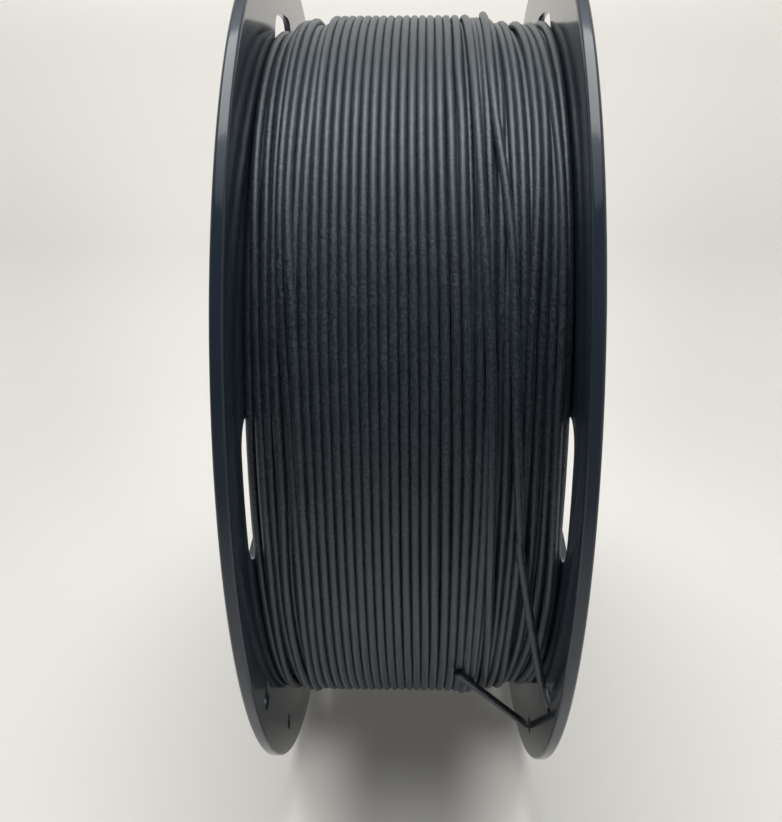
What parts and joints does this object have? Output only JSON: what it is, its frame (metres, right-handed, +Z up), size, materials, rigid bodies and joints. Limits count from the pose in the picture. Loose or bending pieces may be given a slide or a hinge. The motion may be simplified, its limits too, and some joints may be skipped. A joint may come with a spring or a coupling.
{
  "type": "filament spool",
  "caption": "Spool with windowed round flanges and a hollow hub, full of plastic filament in even turns, its free end threaded through holes near the rim.",
  "frame": {"origin": "on the spool's axis, halfway between its rims, in the middle of the bore", "axes": "+X along the bore, towards the flange that holds the filament's free end; +Z up as the spool stands on its rims; the filament leaves the top towards the front, -Y"},
  "size_m": [0.0686, 0.2, 0.2],
  "materials": {
    "moulding": "polished black moulded polystyrene",
    "filament": "satin charcoal grey filament with a fine lengthwise grain"
  },
  "bodies": {
    "root": {"left_flange": "moulding", "right_flange": "moulding", "barrel": "moulding", "winding_core": "filament", "winding_outer_layer": "filament", "free_end": "filament"}
  },
  "joints": []
}
